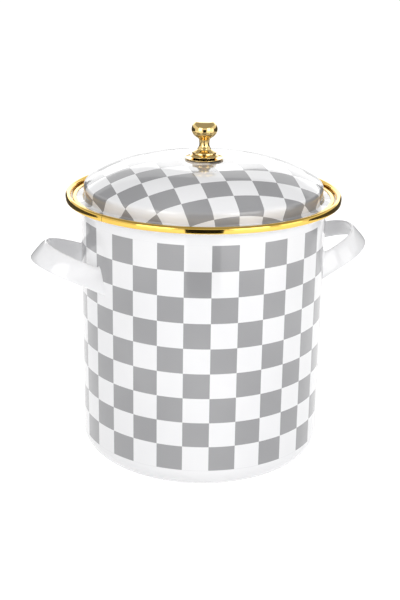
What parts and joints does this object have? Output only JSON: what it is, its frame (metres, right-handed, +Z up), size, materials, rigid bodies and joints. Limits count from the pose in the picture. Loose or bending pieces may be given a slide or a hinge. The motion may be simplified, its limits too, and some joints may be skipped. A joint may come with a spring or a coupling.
{
  "type": "water bath canner",
  "caption": "Enamelled stock pot for water bath canning: domed lid with ball knob, strap handles, gilt rims and a lift-out wire jar rack.",
  "frame": {"origin": "middle of the pot's base, at the surface it stands on", "axes": "+Z up, the strap handles point along +X and -X"},
  "size_m": [0.4002, 0.314, 0.3875],
  "materials": {
    "pot_enamel": "glossy white enamel with a grey brushed check",
    "handle_enamel": "glossy white enamel",
    "lid_enamel": "glossy white enamel with a grey brushed check",
    "gilt_band": "polished gilt",
    "knob_brass": "polished",
    "screw_steel": "plain",
    "silicone": "matt",
    "rack_wire": "bright plated wire"
  },
  "bodies": {
    "pot": {"pot_shell": "pot_enamel", "pot_rim_band": "gilt_band", "handle_right": "handle_enamel", "handle_left": "handle_enamel"},
    "rack": {"rack_base_hoop": "rack_wire", "rack_top_hoop": "rack_wire", "rack_floor_wire_1": "rack_wire", "rack_floor_wire_2": "rack_wire", "rack_floor_wire_3": "rack_wire", "rack_floor_wire_4": "rack_wire", "rack_floor_wire_5": "rack_wire", "rack_floor_wire_6": "rack_wire", "rack_floor_wire_7": "rack_wire", "rack_floor_wire_8": "rack_wire", "rack_floor_wire_9": "rack_wire", "rack_bar_1": "rack_wire", "rack_bar_2": "rack_wire", "rack_post_1": "rack_wire", "rack_post_2": "rack_wire", "rack_post_3": "rack_wire", "rack_post_4": "rack_wire", "rack_post_5": "rack_wire", "rack_post_6": "rack_wire", "rack_divider_1": "rack_wire", "rack_divider_2": "rack_wire", "rack_divider_3": "rack_wire", "rack_divider_4": "rack_wire"},
    "lid": {"lid_shell": "lid_enamel", "lid_rim_band": "gilt_band", "knob_plate": "knob_brass", "knob_collar": "knob_brass", "knob": "knob_brass", "knob_gasket": "silicone", "knob_washer": "screw_steel", "knob_screw": "screw_steel"},
    "bail_right": {"rack_bail_right": "rack_wire"},
    "bail_left": {"rack_bail_left": "rack_wire"}
  },
  "joints": [
    {"name": "rack_lift", "type": "slide", "parent": "pot", "child": "rack", "axis": [0, 0, 1], "range_m": [0, 0.32]},
    {"name": "lid_lift", "type": "slide", "parent": "rack", "child": "lid", "axis": [0, 0, 1], "range_m": [0, 0.15]},
    {"name": "bail_right_swing", "type": "hinge", "parent": "rack", "child": "bail_right", "pos_m": [0.11407, 0, 0.13], "axis": [0, 1, 0], "range_deg": [0, 94]},
    {"name": "bail_left_swing", "type": "hinge", "parent": "rack", "child": "bail_left", "pos_m": [-0.11407, 0, 0.13], "axis": [0, -1, 0], "range_deg": [0, 94]}
  ]
}
